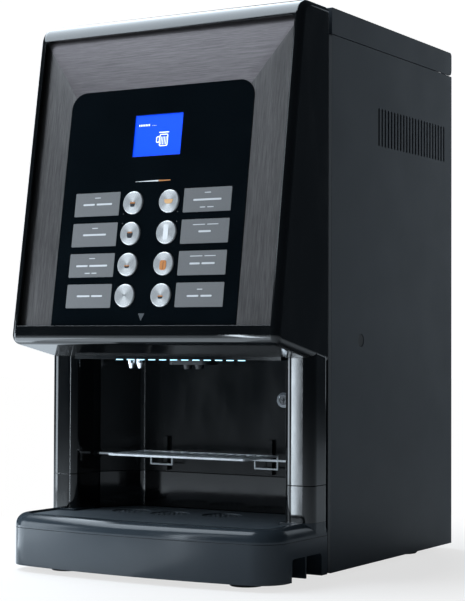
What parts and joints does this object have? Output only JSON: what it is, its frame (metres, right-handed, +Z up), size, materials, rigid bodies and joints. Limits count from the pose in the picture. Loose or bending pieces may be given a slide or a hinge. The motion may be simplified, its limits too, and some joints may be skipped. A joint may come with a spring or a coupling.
{
  "type": "hot coffee vending machine",
  "caption": "Table-top hot coffee vending machine with a hinged front, push buttons, screen, cup niche with fold-up wire shelf, drip tray and a hinged filling lid.",
  "frame": {"origin": "centre of the machine's footprint, at the level of the feet", "axes": "+Z up, +X to the customer's right, -Y towards the customer"},
  "size_m": [0.4, 0.54, 0.72],
  "materials": {
    "cabinet_paint": "satin",
    "frame_steel": "satin",
    "gloss_black": "gloss",
    "niche_black": "satin gloss",
    "base_gloss": "gloss",
    "plate_grey": "fine texture",
    "brushed_bezel": "brushed, dark tinted",
    "black_glass": "gloss",
    "screen_blue": "lit",
    "label_grey": "satin",
    "button_metal": "spun",
    "shelf_wire": "bright wire",
    "chrome_trim": "polished",
    "light_lens": "lit",
    "zinc_steel": "zinc plated",
    "motor_steel": "satin",
    "foot_rubber": "matt",
    "black_trim": "matt",
    "smoked_plastic": "smoked",
    "canister_plastic": "satin",
    "circuit_board": "solder mask",
    "tube_silicone": "translucent",
    "brass_fitting": "turned",
    "rocker_red": "gloss"
  },
  "bodies": {
    "cabinet": {"chassis": "frame_steel", "feet": "foot_rubber", "right_side_panel": "cabinet_paint", "left_side_panel": "cabinet_paint", "side_plugs": "black_trim", "rear_panel": "cabinet_paint", "water_inlet": "brass_fitting", "mains_inlet": "black_trim", "door_hardware": "zinc_steel", "base_skirt": "base_gloss", "base_rim": "base_gloss", "niche_base": "gloss_black", "bulkhead": "zinc_steel", "bean_hopper": "smoked_plastic", "powder_canisters": "canister_plastic", "canister_lids": "black_trim", "drive_motors": "motor_steel", "mixing_bowl": "canister_plastic", "grinder": "black_trim", "brew_unit": "black_trim", "boiler": "motor_steel", "pump": "motor_steel", "water_tank": "canister_plastic", "waste_bin": "black_trim", "control_board": "circuit_board", "fan_housing": "black_trim", "water_tubes": "tube_silicone"},
    "door": {"door_frame": "gloss_black", "bezel": "brushed_bezel", "glass": "black_glass", "display": "screen_blue", "label_plates": "label_grey", "keypad_board": "circuit_board", "door_back": "zinc_steel", "door_columns": "gloss_black", "niche_liner": "niche_black", "led_lenses": "light_lens", "coffee_head": "black_trim", "hot_water_nozzles": "chrome_trim", "lock_barrel": "chrome_trim"},
    "lid": {"top_lid": "cabinet_paint"},
    "basin": {"drip_basin": "black_trim"},
    "plate": {"drip_plate": "plate_grey"},
    "shelf": {"cup_shelf": "shelf_wire"},
    "lock": {"lock_plug": "chrome_trim"},
    "rocker": {"power_rocker": "rocker_red"},
    "milk_screw": {"milk_auger": "canister_plastic"},
    "chocolate_screw": {"chocolate_auger": "canister_plastic"},
    "whip": {"whipper": "canister_plastic"},
    "burr": {"grinder_burr": "motor_steel"},
    "piston": {"brew_piston": "canister_plastic"},
    "rotor": {"fan_rotor": "black_trim"},
    "button_1": {"button_1": "button_metal"},
    "button_2": {"button_2": "button_metal"},
    "button_3": {"button_3": "button_metal"},
    "button_4": {"button_4": "button_metal"},
    "button_5": {"button_5": "button_metal"},
    "button_6": {"button_6": "button_metal"},
    "button_7": {"button_7": "button_metal"},
    "button_8": {"button_8": "button_metal"}
  },
  "joints": [
    {"name": "door_hinge", "type": "hinge", "parent": "cabinet", "child": "door", "pos_m": [-0.1934, -0.126, 0.12], "axis": [0, 0, -1], "range_deg": [0, 95]},
    {"name": "lid_hinge", "type": "hinge", "parent": "cabinet", "child": "lid", "pos_m": [0, 0.262, 0.6945], "axis": [-1, 0, 0], "range_deg": [0, 80]},
    {"name": "shelf_fold", "type": "hinge", "parent": "door", "child": "shelf", "pos_m": [0, -0.1125, 0.1455], "axis": [-1, 0, 0], "range_deg": [0, 85]},
    {"name": "lock_turn", "type": "hinge", "parent": "door", "child": "lock", "pos_m": [0.101, -0.0515, 0.221], "axis": [0, -1, 0], "range_deg": [0, 90]},
    {"name": "basin_lift", "type": "slide", "parent": "cabinet", "child": "basin", "axis": [0, 0, 1], "range_m": [0, 0.01]},
    {"name": "plate_lift", "type": "slide", "parent": "basin", "child": "plate", "axis": [0, 0, 1], "range_m": [0, 0.014]},
    {"name": "press_1", "type": "slide", "parent": "door", "child": "button_1", "axis": [0, 0.9886, -0.1506], "range_m": [0, 0.0015], "stiffness_N_per_m": 400, "springref_m": -0.0005},
    {"name": "press_2", "type": "slide", "parent": "door", "child": "button_2", "axis": [0, 0.9886, -0.1506], "range_m": [0, 0.0015], "stiffness_N_per_m": 400, "springref_m": -0.0005},
    {"name": "press_3", "type": "slide", "parent": "door", "child": "button_3", "axis": [0, 0.9886, -0.1506], "range_m": [0, 0.0015], "stiffness_N_per_m": 400, "springref_m": -0.0005},
    {"name": "press_4", "type": "slide", "parent": "door", "child": "button_4", "axis": [0, 0.9886, -0.1506], "range_m": [0, 0.0015], "stiffness_N_per_m": 400, "springref_m": -0.0005},
    {"name": "press_5", "type": "slide", "parent": "door", "child": "button_5", "axis": [0, 0.9886, -0.1506], "range_m": [0, 0.0015], "stiffness_N_per_m": 400, "springref_m": -0.0005},
    {"name": "press_6", "type": "slide", "parent": "door", "child": "button_6", "axis": [0, 0.9886, -0.1506], "range_m": [0, 0.0015], "stiffness_N_per_m": 400, "springref_m": -0.0005},
    {"name": "press_7", "type": "slide", "parent": "door", "child": "button_7", "axis": [0, 0.9886, -0.1506], "range_m": [0, 0.0015], "stiffness_N_per_m": 400, "springref_m": -0.0005},
    {"name": "press_8", "type": "slide", "parent": "door", "child": "button_8", "axis": [0, 0.9886, -0.1506], "range_m": [0, 0.0015], "stiffness_N_per_m": 400, "springref_m": -0.0005},
    {"name": "rocker_tip", "type": "hinge", "parent": "cabinet", "child": "rocker", "pos_m": [-0.098, 0.243, 0.077], "axis": [-1, 0, 0], "range_deg": [0, 16]},
    {"name": "milk_auger_turn", "type": "hinge", "parent": "cabinet", "child": "milk_screw", "pos_m": [0, 0, 0.5035], "axis": [0, 1, 0], "continuous": true},
    {"name": "chocolate_auger_turn", "type": "hinge", "parent": "cabinet", "child": "chocolate_screw", "pos_m": [0.126, 0, 0.5035], "axis": [0, 1, 0], "continuous": true},
    {"name": "whipper_turn", "type": "hinge", "parent": "cabinet", "child": "whip", "pos_m": [0.063, -0.062, 0.386], "axis": [0, 0, 1], "continuous": true},
    {"name": "burr_turn", "type": "hinge", "parent": "cabinet", "child": "burr", "pos_m": [-0.126, -0.02, 0.42], "axis": [0, 0, 1], "continuous": true},
    {"name": "piston_rise", "type": "slide", "parent": "cabinet", "child": "piston", "axis": [0, 0, 1], "range_m": [0, 0.04]},
    {"name": "fan_turn", "type": "hinge", "parent": "cabinet", "child": "rotor", "pos_m": [0.12, 0.256, 0.6], "axis": [0, 1, 0], "continuous": true}
  ]
}
